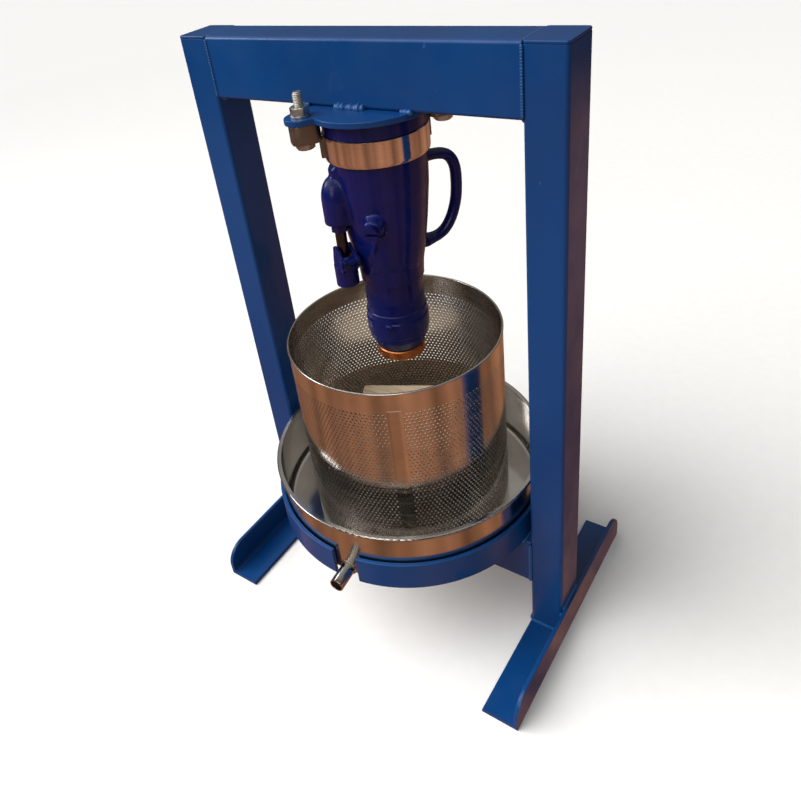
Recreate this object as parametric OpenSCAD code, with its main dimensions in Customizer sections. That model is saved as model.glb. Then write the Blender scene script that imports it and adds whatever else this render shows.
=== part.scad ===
// Apple cider press: welded tube frame, inverted hydraulic bottle jack, perforated basket in a spouted tray.
// Millimetres, +Z up, feet on z = 0, width along X, spout towards -Y.

/* [Frame] */
// Height from the floor to the top of the posts
frame_h = 725; // [660:5:900]
// Width across the outer faces of the posts
frame_w = 438; // [400:2:560]
// Width of the post tube, seen from the front
post_w = 40; // [30:1:60]
// Depth of the post, beam and cross tubes
post_d = 50; // [40:1:70]
// Wall of the square tubes
tube_t = 3; // [2:0.5:5]
// Outer corner radius of the square tubes
tube_r = 4; // [2:0.5:8]
// Height of the top beam
beam_h = 66; // [50:1:90]
// Height of the lower cross tube
cross_h = 68; // [50:1:90]
// Height of the lower cross tube above the floor
cross_z = 77; // [60:1:120]

/* [Feet] */
// Length of each angle foot, front to back
foot_l = 326; // [260:2:420]
// Leg of the angle section
foot_leg = 45; // [35:1:60]
// Thickness of the angle section
foot_t = 5; // [4:0.5:8]
// Radius of the upper corners at the ends of the feet
foot_r = 28; // [10:1:36]

/* [Tray and cradle] */
// Height of the juice tray
tray_h = 77; // [50:1:110]
// Sheet thickness of the tray
tray_t = 1.5; // [1:0.1:3]
// Bead radius of the rolled tray rim
bead_r = 2.2; // [1.5:0.1:4]
// Thickness of the cradle hoop
ring_t = 5; // [3:0.5:8]
// Height of the cradle hoop
ring_h = 38; // [25:1:55]
// Radial room between the tray and the hoop
ring_gap = 1.5; // [0.5:0.1:4]
// Room between the hoop and each post
side_gap = 6.5; // [2:0.5:20]
// Width of the slot in the hoop for the spout
slot_w = 32; // [24:1:60]
// Outer radius of the spout tube
spout_r = 8.5; // [7:0.5:14]
// Wall of the spout tube
spout_t = 1.5; // [1:0.1:3]
// Length of the spout beyond the tray wall
spout_l = 29; // [20:1:80]
// Turn of the spout from straight ahead, in degrees
spout_yaw = 5; // [-15:1:15]

/* [Basket and pressing stack] */
// Width of the juice channel between basket and tray wall
channel_w = 40; // [25:1:60]
// Height of the basket
basket_h = 244; // [160:2:320]
// Sheet thickness of the basket
basket_t = 1.5; // [1:0.1:3]
// Radial room around the press plate
plate_gap = 6.5; // [3:0.5:12]
// Thickness of the round press plate
press_t = 22; // [15:1:40]
// Side of the square wooden block
block_w = 125; // [80:1:150]
// Height of the wooden block
block_h = 88; // [50:1:140]
// Turn of the block, in degrees
block_yaw = 25; // [0:1:89]

/* [Jack] */
// Overall length of the closed jack with its saddle
jack_len = 288.5; // [255:0.5:380]
// Offset of the jack from the middle of the frame
jack_x = 9; // [0:1:15]
// Direction of the jack's carrying handle, in degrees
jack_yaw = 58; // [0:1:90]
// Radius of the jack's base flange
base_r = 53; // [50:0.5:58]
// Outer radius of the reservoir tube
res_r = 33; // [32:0.5:34]
// Radius of the piston rod
ram_r = 15; // [13:0.5:17]
// Radius of the copper saddle
saddle_r = 28; // [20:0.5:34]
// Distance of the pump from the jack's axis
pump_x = 53; // [52:0.5:58]
// Thickness of the jack's mounting plate
plate_t = 6; // [5:0.5:10]
// Bolt circle radius of the two jack bolts
bolt_pcr = 72; // [70:0.5:80]
// Direction of the jack bolts, in degrees
bolt_yaw = 50; // [40:1:60]

/* [Fits] */
// Running clearance on a radius
run_gap = 0.05; // [0.02:0.01:0.1]
// Clearance between pieces that only pass each other
pass_gap = 0.3; // [0.2:0.1:0.6]

/* [Hidden] */
$fn = 96;

cap_t = 3;
inner_w = frame_w - 2 * post_w;
beam_z = frame_h - beam_h;
plate_z = beam_z - plate_t;
cross_top = cross_z + cross_h;
ring_ro = inner_w / 2 - side_gap;
ring_ri = ring_ro - ring_t;
tray_r = ring_ri - ring_gap;
rim_r = tray_r + 4;
tray_z = cross_top + pass_gap;
floor_z = tray_z + tray_t;
basket_r = tray_r - channel_w;
basket_z = floor_z + pass_gap;
press_z = floor_z + pass_gap;
press_r = basket_r - basket_t - plate_gap;
block_z = press_z + press_t + pass_gap;
spout_z = tray_z + tray_t + spout_r + 1;
spout_end = tray_r + spout_l;
y_shift = (spout_end * cos(spout_yaw) + spout_r * sin(abs(spout_yaw)) - max(rim_r, ring_ro)) / 2;
stack_top = block_z + block_h;
work_h = plate_z - stack_top;
jack_l = max(250, min(jack_len, work_h - 30));
flange_h = 17;
flange_z = plate_z - flange_h;
band_h = 27;
band_z = flange_z - band_h;
neck_r = base_r - 2.3;
band_ri = neck_r + pass_gap;
band_ro = band_ri + 3;
well_z = plate_z - 53;
saddle_t = 12;
saddle_z = plate_z - jack_l;
saddle_top = saddle_z + saddle_t;
rod_z = saddle_top + pass_gap;
gland_z = rod_z + 1.2;
gland_web = gland_z + 18;
gland_top = gland_web + 32;
gland_r = res_r + 2.5;
flare_z = max(gland_top + 2, plate_z - 188);
flare_top = plate_z - 83;
res_ri = res_r - 3;
cyl_ro = res_r - 9;
cyl_ri = cyl_ro - 4;
screw_r = ram_r - 5.5;
boss_r = 14.5;
boss_z = plate_z - 110;
boss_top = plate_z - 54;
plunger_r = 6;
pin_z = boss_z - 32;
pivot_arm = 16;
pivot_tilt = 25;
pivot_z = pin_z - pivot_arm * tan(pivot_tilt);
cheek_in = plunger_r + 0.4;
cheek_out = cheek_in + 2.8;
web_z = pivot_z - 11.5;
valve_az = 232;
valve_z = plate_z - 108;
valve_r = 5;
bar_r = 6.2;

// ---------- shared shapes ----------

module placed() {
    translate([0, y_shift, 0]) children();
}

module in_jack() {
    placed() translate([jack_x, 0, 0]) rotate([0, 0, jack_yaw]) children();
}

module soft_square(w, d, r) {
    square([w - 2 * r, d], center = true);
    square([w, d - 2 * r], center = true);
    for (sx = [-1, 1])
        for (sy = [-1, 1])
            translate([sx * (w / 2 - r), sy * (d / 2 - r)]) circle(r);
}

module tube_section(w, d) {
    difference() {
        soft_square(w, d, tube_r);
        square([w - 2 * tube_t, d - 2 * tube_t], center = true);
    }
}

module pipe(ro, ri, h) {
    difference() {
        cylinder(r = ro, h = h);
        translate([0, 0, -1]) cylinder(r = ri, h = h + 2);
    }
}

// ---------- welded frame ----------

module post(side) {
    placed() translate([side * (frame_w - post_w) / 2, 0, foot_t])
        linear_extrude(frame_h - foot_t - cap_t) tube_section(post_w, post_d);
}

module post_left() {
    color([0.05, 0.2, 0.45]) post(-1);
}

module post_right() {
    color([0.05, 0.2, 0.45]) post(1);
}

module post_caps() {
    color([0.05, 0.2, 0.45])
        for (side = [-1, 1])
            placed() translate([side * (frame_w - post_w) / 2, 0, frame_h - cap_t])
                linear_extrude(cap_t) soft_square(post_w, post_d, tube_r);
}

module cross_tube(z, h) {
    placed() translate([-inner_w / 2, 0, z + h / 2]) rotate([90, 0, 90])
        linear_extrude(inner_w) tube_section(post_d, h);
}

module top_beam() {
    color([0.05, 0.2, 0.45]) cross_tube(beam_z, beam_h);
}

module cross_member() {
    color([0.05, 0.2, 0.45]) cross_tube(cross_z, cross_h);
}

module foot(side) {
    out_x = frame_w / 2 + foot_t;
    placed() {
        translate([side > 0 ? out_x - foot_leg : -out_x, -foot_l / 2, 0]) cube([foot_leg, foot_l, foot_t]);
        translate([side > 0 ? frame_w / 2 : -out_x, 0, 0]) rotate([90, 0, 90]) linear_extrude(foot_t) {
            translate([-foot_l / 2, 0]) square([foot_l, foot_leg - foot_r]);
            translate([-foot_l / 2 + foot_r, 0]) square([foot_l - 2 * foot_r, foot_leg]);
            for (e = [-1, 1])
                translate([e * (foot_l / 2 - foot_r), foot_leg - foot_r]) circle(foot_r);
        }
    }
}

module foot_clip(side) {
    intersection() {
        foot(side);
        translate([-frame_w, -frame_w, 0]) cube([2 * frame_w, 2 * frame_w, foot_leg]);
    }
}

module foot_left() {
    color([0.05, 0.2, 0.45]) foot_clip(-1);
}

module foot_right() {
    color([0.05, 0.2, 0.45]) foot_clip(1);
}

module cradle_ring() {
    color([0.05, 0.25, 0.5]) placed() translate([0, 0, cross_top]) difference() {
        pipe(ring_ro, ring_ri, ring_h);
        rotate([0, 0, spout_yaw]) translate([-slot_w / 2, -ring_ro - 5, -1])
            cube([slot_w, ring_t + 20, ring_h + 2]);
    }
}

// ---------- jack mounting ----------

module at_bolts() {
    placed() translate([jack_x, 0, 0]) for (a = [bolt_yaw, bolt_yaw + 180])
        rotate([0, 0, a]) translate([bolt_pcr, 0, 0]) children();
}

module jack_plate() {
    color([0.04, 0.3, 0.55]) difference() {
        union() {
            placed() translate([jack_x, 0, plate_z]) cylinder(r = base_r + 12, h = plate_t);
            at_bolts() translate([0, 0, plate_z]) cylinder(r = 17, h = plate_t);
            at_bolts() translate([-bolt_pcr, -17, plate_z]) cube([bolt_pcr, 34, plate_t]);
            placed() translate([jack_x, 0, plate_z]) rotate([0, 0, bolt_yaw - 22])
                translate([-base_r - 12, -base_r * 0.7, 0]) cube([2 * base_r + 24, base_r * 1.4, plate_t]);
        }
        at_bolts() translate([0, 0, plate_z - 1]) cylinder(r = 5.5, h = plate_t + 2);
    }
}

module clamp_ring() {
    color([0.72, 0.68, 0.64]) difference() {
        union() {
            placed() translate([jack_x, 0, band_z]) cylinder(r = band_ro, h = band_h);
            at_bolts() translate([-bolt_pcr + 45, -13, flange_z - 3])
                cube([bolt_pcr - 45, 26, flange_h + 3]);
            at_bolts() translate([0, 0, flange_z - 3]) cylinder(r = 13, h = flange_h + 3);
        }
        placed() translate([jack_x, 0, band_z - 1]) cylinder(r = band_ri, h = band_h + 2);
        placed() translate([jack_x, 0, flange_z]) cylinder(r = base_r + pass_gap, h = flange_h + 1);
        at_bolts() translate([0, 0, flange_z - 4]) cylinder(r = 5.5, h = flange_h + 6);
    }
}

module jack_bolts() {
    color([0.6, 0.6, 0.6]) at_bolts() {
        translate([0, 0, flange_z - 9.4]) cylinder(r = 9.8, h = 6.4, $fn = 6);
        translate([0, 0, flange_z - 4]) cylinder(r = 5, h = flange_h + plate_t + 28);
    }
}

module jack_washers() {
    color([0.65, 0.65, 0.65]) at_bolts() translate([0, 0, beam_z]) pipe(10, 5.3, 2);
}

module jack_nuts() {
    color([0.6, 0.6, 0.6]) at_bolts() translate([0, 0, beam_z + 2]) difference() {
        cylinder(r = 9.8, h = 8, $fn = 6);
        translate([0, 0, -1]) cylinder(r = 5, h = 10);
    }
}

// ---------- bottle jack, hung upside down ----------

module jack_base() {
    color([0.04, 0.05, 0.3]) in_jack() difference() {
        union() {
            translate([0, 0, flange_z]) cylinder(r = base_r, h = flange_h);
            translate([0, 0, flare_top]) cylinder(r1 = neck_r - 1.4, r2 = neck_r, h = flange_z - flare_top);
            translate([0, 0, flare_z]) cylinder(r1 = res_r + 2, r2 = neck_r - 1.4, h = flare_top - flare_z);
            translate([-pump_x, 0, boss_z]) cylinder(r = boss_r, h = boss_top - boss_z - 6);
            translate([-pump_x, 0, boss_top - 6]) cylinder(r1 = boss_r, r2 = boss_r - 6, h = 6);
            translate([-pump_x, -9, boss_z + 4]) cube([pump_x - 30, 18, boss_top - boss_z - 10]);
            translate([-pump_x - 6, -pivot_arm - 6.5, boss_z]) cube([12, pivot_arm + 6.5, 18]);
            translate([-pump_x - 6, -pivot_arm - 6.5, pivot_z]) cube([12, 11, boss_z - pivot_z + 1]);
            translate([-pump_x - 6, -pivot_arm, pivot_z]) rotate([0, 90, 0]) cylinder(r = 6.5, h = 12);
            rotate([0, 0, valve_az]) translate([30, 0, valve_z]) rotate([0, 90, 0]) cylinder(r = 11, h = 27);
        }
        translate([0, 0, flare_z - 1]) cylinder(r = res_r + run_gap, h = well_z - flare_z + 1);
        translate([-pump_x, 0, boss_z - 1]) cylinder(r = plunger_r + run_gap, h = 45);
        translate([-pump_x, 0, boss_z - 60]) cylinder(r = 10, h = 60);
        translate([-pump_x - 7, -pivot_arm, pivot_z]) rotate([0, 90, 0]) cylinder(r = 3.5, h = 14);
        rotate([0, 0, valve_az]) translate([36, 0, valve_z]) rotate([0, 90, 0])
            cylinder(r = valve_r + run_gap, h = 30);
        for (x = [-40, -24]) {
            translate([x, 0, well_z + 6]) cylinder(r = 4.3, h = 8.6);
            translate([x, 0, well_z + 10]) cylinder(r = 2, h = 60);
        }
    }
}

module check_balls() {
    color([0.7, 0.7, 0.72]) in_jack() for (x = [-40, -24])
        translate([x, 0, well_z + 10.3]) sphere(4);
}

module reservoir_tube() {
    color([0.04, 0.05, 0.3]) in_jack() translate([0, 0, gland_web]) pipe(res_r, res_ri, well_z - gland_web);
}

module pressure_cylinder() {
    color([0.5, 0.5, 0.52]) in_jack() translate([0, 0, gland_web]) pipe(cyl_ro, cyl_ri, well_z - gland_web);
}

module gland_nut() {
    color([0.04, 0.05, 0.3]) in_jack() difference() {
        union() {
            translate([0, 0, gland_z]) cylinder(r1 = gland_r - 8, r2 = gland_r, h = 16);
            translate([0, 0, gland_z + 16]) cylinder(r = gland_r, h = gland_top - gland_z - 16);
        }
        translate([0, 0, gland_z - 1]) cylinder(r = ram_r + run_gap, h = 40);
        translate([0, 0, gland_z + 6]) cylinder(r = ram_r + 3.5, h = 6);
        translate([0, 0, gland_web]) cylinder(r = res_r, h = 60);
    }
}

module gland_seal() {
    color([0.1, 0.1, 0.1]) in_jack() translate([0, 0, gland_z + 6]) pipe(ram_r + 3.5, ram_r + run_gap, 6);
}

module filler_plug() {
    color([0.06, 0.06, 0.2]) in_jack() rotate([0, 0, 230]) translate([gland_r, 0, gland_top - 14])
        rotate([0, 90, 0]) cylinder(r = 5, h = 2.5);
}

module carry_handle() {
    top_z = plate_z - 65;
    low_z = plate_z - 160;
    out_x = 86;
    bend = 16;
    drop = [18, 34];
    turn = atan2(drop[0], drop[1]);
    cut = bend * tan((90 - turn) / 2);
    low_x = out_x - drop[0] + cut * sin(turn) - bend * cos(turn);
    path = concat(
        [[25, top_z]],
        [for (a = [90:-18:0]) [out_x - bend + bend * cos(a), top_z - bend + bend * sin(a)]],
        [[out_x, low_z + drop[1] + 4], [out_x - 1.9, low_z + drop[1] - 3.6]],
        [for (a = [-turn:-(90 - turn) / 4:-90.1]) [low_x + bend * cos(a), low_z + bend + bend * sin(a)]],
        [[25, low_z]]);
    color([0.04, 0.05, 0.3]) in_jack() difference() {
        for (i = [0:len(path) - 2])
            hull()
                for (p = [path[i], path[i + 1]])
                    translate([p[0], 0, p[1]]) sphere(bar_r, $fn = 24);
        translate([0, 0, flare_top]) cylinder(r1 = neck_r - 1.4, r2 = neck_r, h = flange_z - flare_top);
        translate([0, 0, flare_z]) cylinder(r1 = res_r + 2, r2 = neck_r - 1.4, h = flare_top - flare_z);
    }
}

module pump_gland() {
    color([0.3, 0.3, 0.32]) in_jack() translate([-pump_x, 0, boss_z - 8]) difference() {
        cylinder(r = 9.2, h = 8, $fn = 6);
        translate([0, 0, -1]) cylinder(r = plunger_r + run_gap, h = 10);
    }
}

module lever_pivot_pin() {
    head = cheek_out + pass_gap;
    color([0.6, 0.6, 0.62]) in_jack() translate([-pump_x, -pivot_arm, pivot_z]) rotate([0, 90, 0]) {
        translate([0, 0, -head]) cylinder(r = 3.5, h = 2 * head);
        translate([0, 0, -head - 1.5]) cylinder(r = 5, h = 1.5);
        translate([0, 0, head]) cylinder(r = 5, h = 1.5);
    }
}

// ---------- ram and saddle ----------

module ram() {
    color([0.75, 0.75, 0.77]) in_jack() translate([0, 0, rod_z]) difference() {
        cylinder(r = ram_r, h = well_z - pass_gap - rod_z);
        translate([0, 0, -1]) cylinder(r = screw_r + run_gap, h = well_z - rod_z - 30);
    }
}

module ram_piston() {
    color([0.55, 0.55, 0.57]) in_jack() translate([0, 0, well_z - pass_gap - 15]) difference() {
        cylinder(r = cyl_ri - run_gap, h = 15);
        translate([0, 0, -1]) cylinder(r = ram_r, h = 17);
        translate([0, 0, 5]) pipe(cyl_ri + 1, cyl_ri - 3, 5);
    }
}

module piston_seal() {
    color([0.1, 0.1, 0.1]) in_jack() translate([0, 0, well_z - pass_gap - 10])
        pipe(cyl_ri - run_gap, cyl_ri - 3, 5);
}

module extension_screw() {
    color([0.6, 0.6, 0.62]) in_jack() translate([0, 0, saddle_z + 4])
        cylinder(r = screw_r, h = well_z - saddle_z - 60);
}

module saddle_pad() {
    color([0.75, 0.35, 0.15]) in_jack() translate([0, 0, saddle_z]) difference() {
        union() {
            cylinder(r1 = saddle_r - 1.5, r2 = saddle_r, h = 1.5);
            translate([0, 0, 1.5]) cylinder(r = saddle_r, h = saddle_t - 1.5);
        }
        translate([0, 0, 4]) cylinder(r = screw_r, h = saddle_t);
    }
}

// ---------- pump and release valve ----------

module release_valve() {
    color([0.25, 0.25, 0.3]) in_jack() rotate([0, 0, valve_az]) translate([0, 0, valve_z])
        rotate([0, 90, 0]) difference() {
            union() {
                translate([0, 0, 40]) cylinder(r = valve_r, h = 18);
                translate([0, 0, 57.3]) cylinder(r = 8, h = 8);
            }
            translate([-1.6, -9, 61]) cube([3.2, 18, 6]);
        }
}

module pump_plunger() {
    color([0.7, 0.7, 0.72]) in_jack() translate([-pump_x, 0, pin_z - 6]) difference() {
        cylinder(r = plunger_r, h = 55);
        translate([-9, 0, 6]) rotate([0, 90, 0]) cylinder(r = 2.6, h = 18);
    }
}

module plunger_pin() {
    color([0.6, 0.6, 0.62]) in_jack() translate([-pump_x - cheek_out, 0, pin_z]) rotate([0, 90, 0])
        cylinder(r = 2.6, h = 2 * cheek_out);
}

module cheek_outline() {
    slot_a = pivot_arm - 0.1;
    slot_b = pivot_arm / cos(pivot_tilt) + 0.1;
    difference() {
        union() {
            translate([-pivot_arm, pivot_z]) circle(7);
            translate([0, pin_z]) circle(7);
            polygon([[-pivot_arm - 7, pivot_z], [-pivot_arm + 2, web_z], [11, web_z], [11, web_z + 6],
                     [7, pin_z], [0, pin_z + 7], [-pivot_arm, pivot_z + 7]]);
        }
        translate([-pivot_arm, pivot_z]) circle(3.5 + run_gap);
        translate([-pivot_arm, pivot_z]) rotate([0, 0, pivot_tilt]) {
            translate([slot_a, -3.05]) square([slot_b - slot_a, 6.1]);
            translate([slot_a, 0]) circle(3.05);
            translate([slot_b, 0]) circle(3.05);
        }
    }
}

module lever_socket() {
    color([0.04, 0.05, 0.3]) in_jack() translate([-pump_x, 0, 0]) {
        for (x = [-cheek_out, cheek_in])
            translate([x, 0, 0]) rotate([90, 0, 90]) linear_extrude(cheek_out - cheek_in) cheek_outline();
        translate([0, 0, web_z]) cylinder(r = 12.5, h = 4);
        translate([-cheek_out, -12, web_z]) cube([2 * cheek_out, 23, 4]);
        translate([0, 0, web_z - 20]) pipe(12.5, 10.3, 20.5);
    }
}

// ---------- tray, spout and basket ----------

module tray() {
    corner = 8;
    color([0.6, 0.58, 0.55]) placed() difference() {
        translate([0, 0, tray_z]) rotate_extrude() difference() {
            union() {
                square([tray_r - corner, tray_t]);
                translate([tray_r - corner, corner]) intersection() {
                    difference() {
                        circle(corner);
                        circle(corner - tray_t);
                    }
                    translate([0, -corner]) square(corner);
                }
                translate([tray_r - tray_t, corner]) square([tray_t, tray_h - corner - bead_r]);
                translate([rim_r - bead_r, tray_h - bead_r]) circle(bead_r);
                translate([tray_r - tray_t, tray_h - tray_t]) square([rim_r - bead_r - tray_r + tray_t, tray_t]);
                translate([tray_r - tray_t, tray_h - bead_r - 1]) square([tray_t, bead_r + 1]);
            }
        }
        rotate([0, 0, spout_yaw]) translate([0, -tray_r + 6, spout_z]) rotate([90, 0, 0])
            cylinder(r = spout_r, h = 20);
    }
}

module spout() {
    color([0.6, 0.58, 0.55]) placed() rotate([0, 0, spout_yaw]) translate([0, -tray_r + 2.5, spout_z])
        rotate([90, 0, 0]) pipe(spout_r, spout_r - spout_t, spout_end - tray_r + 2.5);
}

module basket() {
    color([0.62, 0.58, 0.54]) placed() translate([0, 0, basket_z]) difference() {
        union() {
            cylinder(r = basket_r, h = basket_h);
            translate([0, 0, basket_h - 3]) cylinder(r = basket_r + 0.8, h = 3);
        }
        translate([0, 0, -1]) cylinder(r = basket_r - basket_t, h = basket_h + 2);
    }
}

module press_plate() {
    color([0.75, 0.6, 0.42]) placed() translate([0, 0, press_z]) cylinder(r = press_r, h = press_t);
}

module wood_block() {
    color([0.85, 0.75, 0.6]) placed() translate([0, 0, block_z]) rotate([0, 0, block_yaw])
        translate([-block_w / 2, -block_w / 2, 0]) cube([block_w, block_w, block_h]);
}

post_left();
post_right();
post_caps();
top_beam();
cross_member();
foot_left();
foot_right();
cradle_ring();
jack_plate();
clamp_ring();
jack_bolts();
jack_nuts();
jack_washers();
jack_base();
check_balls();
reservoir_tube();
pressure_cylinder();
gland_nut();
gland_seal();
filler_plug();
carry_handle();
pump_gland();
lever_pivot_pin();
ram();
ram_piston();
piston_seal();
extension_screw();
saddle_pad();
release_valve();
pump_plunger();
plunger_pin();
lever_socket();
tray();
spout();
basket();
press_plate();
wood_block();
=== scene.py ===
import math

import bmesh
import bpy
import numpy as np
from mathutils import Matrix, Vector


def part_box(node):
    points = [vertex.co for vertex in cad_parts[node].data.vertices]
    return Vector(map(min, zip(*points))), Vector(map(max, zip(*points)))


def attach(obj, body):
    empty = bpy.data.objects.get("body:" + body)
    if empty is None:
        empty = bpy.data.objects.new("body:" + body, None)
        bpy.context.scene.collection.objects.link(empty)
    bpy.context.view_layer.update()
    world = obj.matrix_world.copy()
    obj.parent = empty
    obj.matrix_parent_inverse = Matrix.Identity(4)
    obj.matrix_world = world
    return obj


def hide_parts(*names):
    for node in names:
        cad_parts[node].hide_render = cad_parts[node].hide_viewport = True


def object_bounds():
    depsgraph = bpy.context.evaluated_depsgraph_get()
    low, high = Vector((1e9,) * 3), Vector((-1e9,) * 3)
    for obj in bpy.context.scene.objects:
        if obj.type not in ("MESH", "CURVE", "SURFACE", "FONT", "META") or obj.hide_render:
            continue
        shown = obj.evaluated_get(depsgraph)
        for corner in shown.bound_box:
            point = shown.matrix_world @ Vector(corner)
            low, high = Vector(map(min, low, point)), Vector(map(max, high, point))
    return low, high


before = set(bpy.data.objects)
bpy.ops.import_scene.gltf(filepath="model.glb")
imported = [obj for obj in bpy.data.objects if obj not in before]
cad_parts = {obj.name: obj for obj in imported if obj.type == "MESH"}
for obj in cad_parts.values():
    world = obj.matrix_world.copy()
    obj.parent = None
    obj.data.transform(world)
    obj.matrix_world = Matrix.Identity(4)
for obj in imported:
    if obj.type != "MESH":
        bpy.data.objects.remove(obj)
bpy.context.view_layer.update()
cad_box = [list(corner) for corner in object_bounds()]


# ---------------------------------------------------------------- floor, light and camera
# The press stands on a plain pale floor under one broad soft lamp from above, left and in front.
# A warm round mat and a dim tent stand around it, which only glossy surfaces see, so that polished
# steel shows a room in it and not only white.

scene = bpy.context.scene
scene.view_settings.view_transform = "Standard"
floor_half = 40
floor_level = -0.0005
mat_level = 0.0008
tent_r = 4.0
backdrop_r = 39.5
backdrop_top = 60


def cad_corners(node):
    """The lowest and highest corners of a CAD node's box."""
    low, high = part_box(node)
    return np.array(low), np.array(high)


def new_shader(name, values):
    """A material whose Principled shader takes the given values on its own sockets."""
    material = bpy.data.materials.new(name)
    material.use_nodes = True
    principled = material.node_tree.nodes["Principled BSDF"]
    for socket, value in values.items():
        principled.inputs[socket].default_value = value
    return material, material.node_tree, principled


def speckle(tree, scale, stretch=(1, 1, 1), detail=4.0, turn=0.0):
    """Noise on Object coordinates, stretched and turned about Z. Returns its grey output."""
    place = tree.nodes.new("ShaderNodeTexCoord")
    mapping = tree.nodes.new("ShaderNodeMapping")
    noise = tree.nodes.new("ShaderNodeTexNoise")
    mapping.inputs["Scale"].default_value = stretch
    mapping.inputs["Rotation"].default_value = (0, 0, turn)
    noise.inputs["Scale"].default_value = scale
    noise.inputs["Detail"].default_value = detail
    tree.links.new(place.outputs["Object"], mapping.inputs["Vector"])
    tree.links.new(mapping.outputs["Vector"], noise.inputs["Vector"])
    return noise.outputs["Fac"]


def colour_between(tree, grey, stops):
    """A colour ramp over a grey value. Each stop is (position, colour)."""
    ramp = tree.nodes.new("ShaderNodeValToRGB")
    while len(ramp.color_ramp.elements) < len(stops):
        ramp.color_ramp.elements.new(0.5)
    for element, (position, colour) in zip(ramp.color_ramp.elements, stops):
        element.position = position
        element.color = (*colour, 1)
    tree.links.new(grey, ramp.inputs["Fac"])
    return ramp.outputs["Color"]


def spread(tree, grey, low, high):
    """A grey value from noise, spread over the range low to high."""
    change = tree.nodes.new("ShaderNodeMapRange")
    change.inputs["From Min"].default_value = 0.3
    change.inputs["From Max"].default_value = 0.7
    change.inputs["To Min"].default_value = low
    change.inputs["To Max"].default_value = high
    tree.links.new(grey, change.inputs["Value"])
    return change.outputs["Result"]


def polar(reach, angle, height, centre=(0, 0)):
    """Points at a reach and an angle round an upright axis through centre, at a height."""
    reach, angle, height = np.broadcast_arrays(reach, angle, height)
    return np.stack([centre[0] + reach * np.cos(angle), centre[1] + reach * np.sin(angle), height], -1)


def whole_turn(steps):
    """Even angles over one turn, without its end."""
    return np.arange(steps) * 2 * math.pi / steps


def band_faces(rows, columns, close_rows):
    """Four-sided faces over a grid of points whose columns run round; the rows may close as well."""
    index = np.arange(rows * columns).reshape(rows, columns)
    if close_rows:
        index = np.vstack([index, index[:1]])
    index = np.hstack([index, index[:, :1]])
    return np.stack([index[:-1, :-1], index[:-1, 1:], index[1:, 1:], index[1:, :-1]], -1).reshape(-1, 4)


def set_on_stage(name, points, faces, material):
    """A part of the studio. It isn't part of the press and throws no light on it."""
    mesh = bpy.data.meshes.new(name)
    mesh.from_pydata(points, [], faces)
    mesh.materials.append(material)
    made = bpy.data.objects.new(name, mesh)
    made.visible_diffuse = False
    scene.collection.objects.link(made)
    return made


paper, tree, principled = new_shader("pale_floor", {"Roughness": 0.85})
paper_tone = colour_between(tree, speckle(tree, 60.0),
                            [(0.3, (0.80, 0.80, 0.79)), (0.7, (0.82, 0.82, 0.81))])
tree.links.new(paper_tone, principled.inputs["Base Color"])
set_on_stage("floor", [(floor_half * x, floor_half * y, floor_level)
                       for x, y in ((-1, -1), (1, -1), (1, 1), (-1, 1))], [(0, 1, 2, 3)], paper)


def glowing(name, reach, stops, patchy=False):
    """Emission whose colour follows the height as a share of reach. A patchy one follows the distance
    from the middle instead, and is brighter towards some sides than others."""
    material = bpy.data.materials.new(name)
    material.use_nodes = True
    tree = material.node_tree
    tree.nodes.clear()
    place = tree.nodes.new("ShaderNodeTexCoord").outputs["Object"]
    measure = tree.nodes.new("ShaderNodeVectorMath" if patchy else "ShaderNodeSeparateXYZ")
    share = tree.nodes.new("ShaderNodeMath")
    share.operation = "DIVIDE"
    share.inputs[1].default_value = reach
    glow = tree.nodes.new("ShaderNodeEmission")
    out = tree.nodes.new("ShaderNodeOutputMaterial")
    if patchy:
        measure.operation = "LENGTH"
        bearing = tree.nodes.new("ShaderNodeVectorMath")
        bearing.operation = "NORMALIZE"
        patches = tree.nodes.new("ShaderNodeTexNoise")
        patches.inputs["Scale"].default_value = 3.4
        tree.links.new(place, bearing.inputs[0])
        tree.links.new(bearing.outputs["Vector"], patches.inputs["Vector"])
        tree.links.new(spread(tree, patches.outputs["Fac"], 0.45, 1.35), glow.inputs["Strength"])
    tree.links.new(place, measure.inputs[0])
    tree.links.new(measure.outputs["Value" if patchy else "Z"], share.inputs[0])
    tree.links.new(colour_between(tree, share.outputs["Value"], stops), glow.inputs["Color"])
    tree.links.new(glow.outputs["Emission"], out.inputs["Surface"])
    return material


def surround(profile, material, seen):
    """A profile of (radius, height) spun round an upright axis. The camera sees it, or only gloss does."""
    profile = np.array(profile, float)
    points = polar(profile[:, :1], whole_turn(64), profile[:, 1:]).reshape(-1, 3).tolist()
    made = set_on_stage(material.name, points, band_faces(len(profile), 64, False).tolist(), material)
    made.data.shade_smooth()
    made.visible_camera = seen
    made.visible_glossy = not seen
    made.visible_shadow = False


mat_glow = glowing("warm_mat", tent_r, [(0.0, (0.34, 0.145, 0.07)), (0.45, (0.40, 0.19, 0.115)),
                                        (0.60, (0.20, 0.10, 0.06)), (0.70, (0.03, 0.026, 0.026))], True)
surround([(0.01, mat_level), (1.0, mat_level), (tent_r, mat_level)], mat_glow, False)
rise = np.linspace(0, math.pi / 2 - 0.01, 16)
tent_glow = glowing("dim_tent", tent_r, [(0.0, (0.018, 0.018, 0.020)), (0.30, (0.05, 0.05, 0.052)),
                                         (0.55, (0.24, 0.23, 0.215)), (0.9, (0.42, 0.41, 0.39))])
surround(np.c_[tent_r * np.cos(rise), tent_r * np.sin(rise)], tent_glow, False)
far_glow = glowing("pale_backdrop", floor_half, [(0.0, (0.96, 0.96, 0.955)), (0.5, (0.98, 0.98, 0.98))])
surround([(backdrop_r, -0.01), (backdrop_r, backdrop_top), (0.01, backdrop_top)], far_glow, True)

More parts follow.
